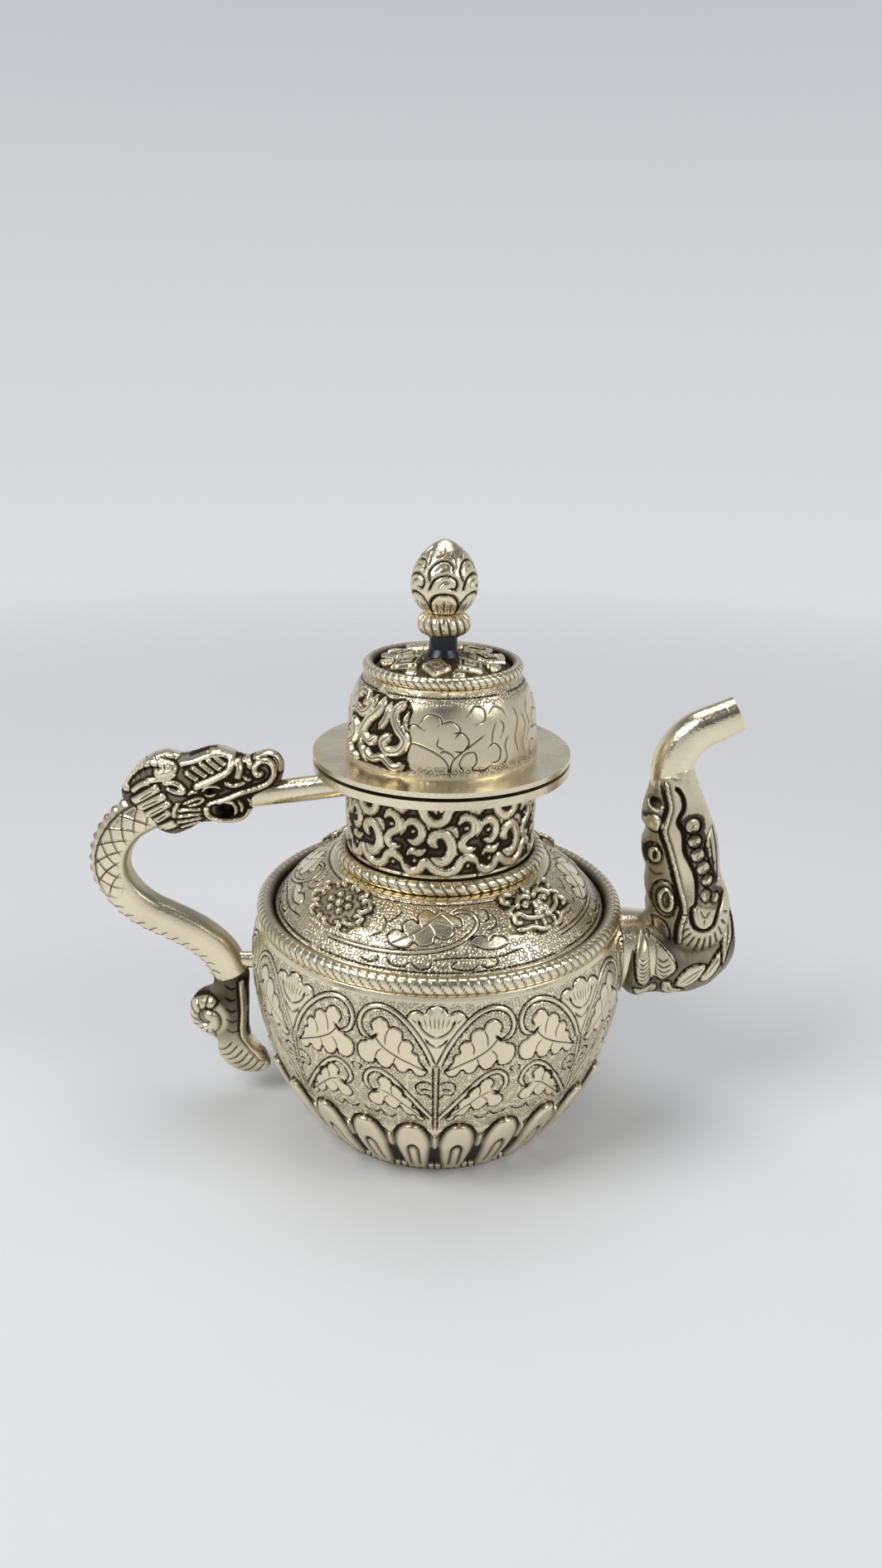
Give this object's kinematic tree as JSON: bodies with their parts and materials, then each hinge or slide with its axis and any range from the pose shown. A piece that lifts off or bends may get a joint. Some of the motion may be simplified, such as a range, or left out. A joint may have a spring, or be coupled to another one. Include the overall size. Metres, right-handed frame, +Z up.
{
  "type": "teapot",
  "caption": "Squat silver-toned metal teapot with lotus-petal foot, chased belly, domed lift-off lid with bud finial, dragon handle and makara spout.",
  "frame": {"origin": "centre of the underside of the base plate, on the axis of the bowl", "axes": "+Z up along the axis of the bowl, +X towards the spout, handle towards -X"},
  "size_m": [0.1661, 0.096, 0.1507],
  "materials": {
    "chased_metal": "hand-chased white metal with dark patina in the recesses",
    "cast_metal": "cast and engraved white metal, rubbed bright on the high parts",
    "plain_metal": "hand-polished white metal with fine scratches"
  },
  "bodies": {
    "pot": {"base_plate": "plain_metal", "bowl": "chased_metal", "lotus_band": "chased_metal", "belt_cord": "chased_metal", "shoulder": "chased_metal", "medallion_1": "cast_metal", "medallion_2": "cast_metal", "medallion_3": "cast_metal", "medallion_4": "cast_metal", "neck": "plain_metal", "neck_sleeve": "chased_metal", "neck_cord": "chased_metal", "rim_flange": "plain_metal", "handle_strut": "plain_metal", "dragon_head": "cast_metal", "dragon_body": "cast_metal", "dragon_tail": "cast_metal", "handle_lug": "cast_metal", "spout_collar": "plain_metal", "spout_elbow": "cast_metal", "makara_body": "cast_metal", "spout_tube": "plain_metal"},
    "lid": {"lid_plate": "plain_metal", "lid_bezel": "plain_metal", "lid_dome": "chased_metal", "lid_cord": "chased_metal", "lid_crown": "chased_metal", "crown_petals": "chased_metal", "finial_stem": "plain_metal", "finial_collar": "cast_metal", "finial_bud": "cast_metal", "finial_rivet": "plain_metal"}
  },
  "joints": [
    {"name": "lid_lift", "type": "slide", "parent": "pot", "child": "lid", "axis": [0, 0, 1], "range_m": [0, 0.06]}
  ]
}
